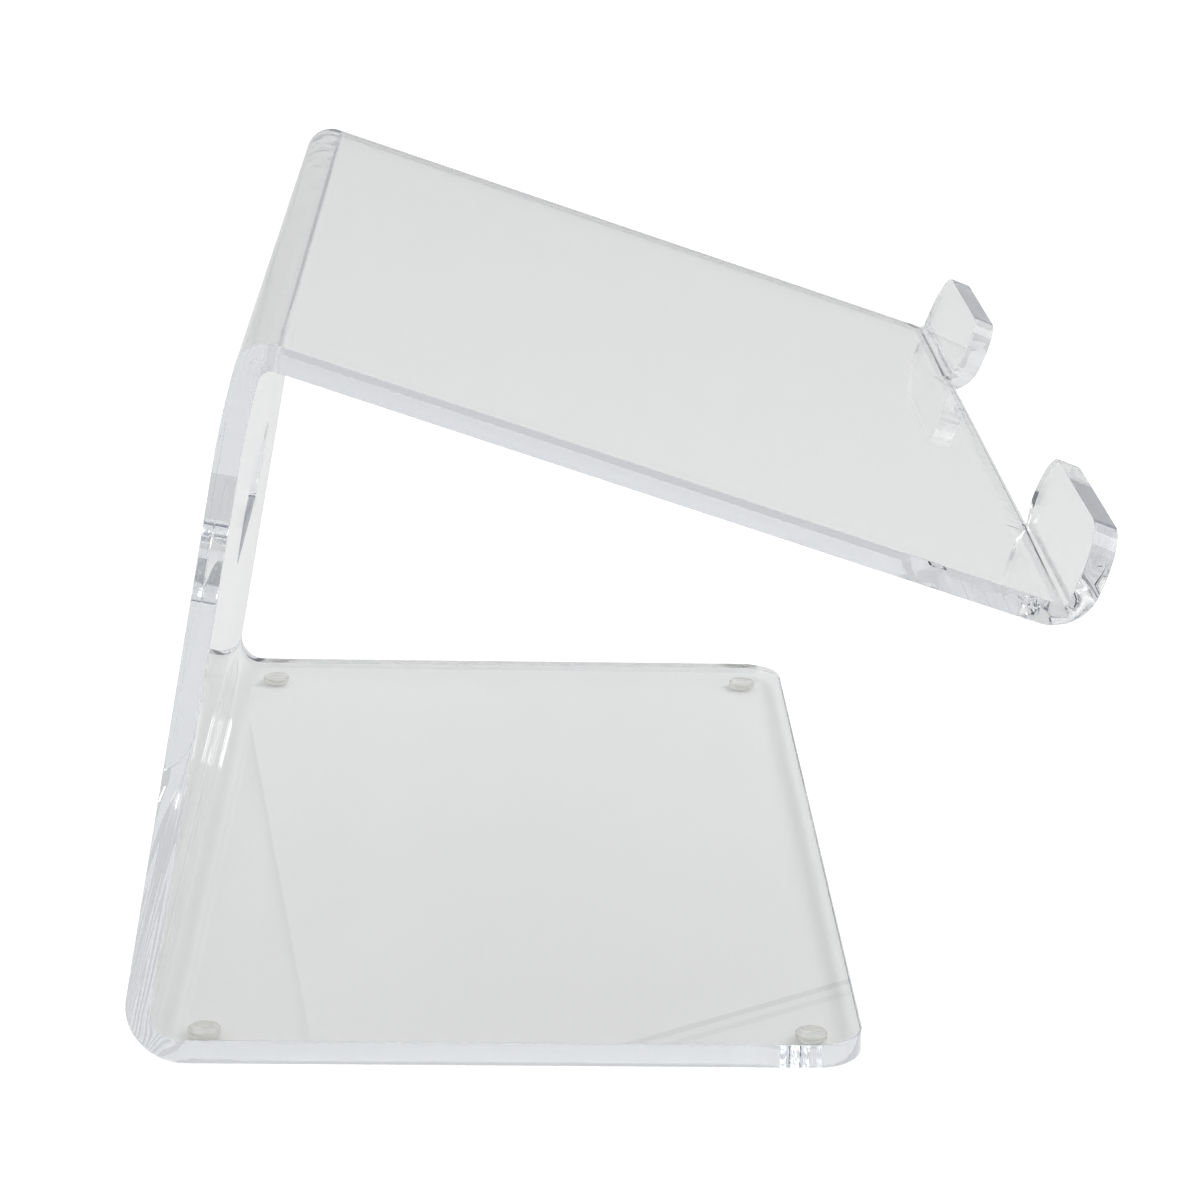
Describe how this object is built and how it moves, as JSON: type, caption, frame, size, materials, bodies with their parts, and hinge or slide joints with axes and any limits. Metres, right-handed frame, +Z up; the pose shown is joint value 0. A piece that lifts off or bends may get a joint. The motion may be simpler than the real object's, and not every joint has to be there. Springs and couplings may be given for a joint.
{
  "type": "plate display stand",
  "caption": "Bent clear acrylic display stand with a flat base, a leaning upright with a cable slot, a sloping shelf and two front lips.",
  "frame": {"origin": "on the surface the stand rests on, under the middle of its bounding box", "axes": "+Z up; -Y is the front, where the lips are and towards which the shelf slopes down; X across the stand's width"},
  "size_m": [0.29, 0.2292, 0.1772],
  "materials": {
    "clear_acrylic": "polished",
    "foot": "gloss",
    "adhesive": "satin"
  },
  "bodies": {
    "root": {"bent_sheet": "clear_acrylic", "foot_front_left": "foot", "foot_front_right": "foot", "foot_back_left": "foot", "foot_back_right": "foot", "adhesive_front_left": "adhesive", "adhesive_front_right": "adhesive", "adhesive_back_left": "adhesive", "adhesive_back_right": "adhesive"}
  },
  "joints": []
}
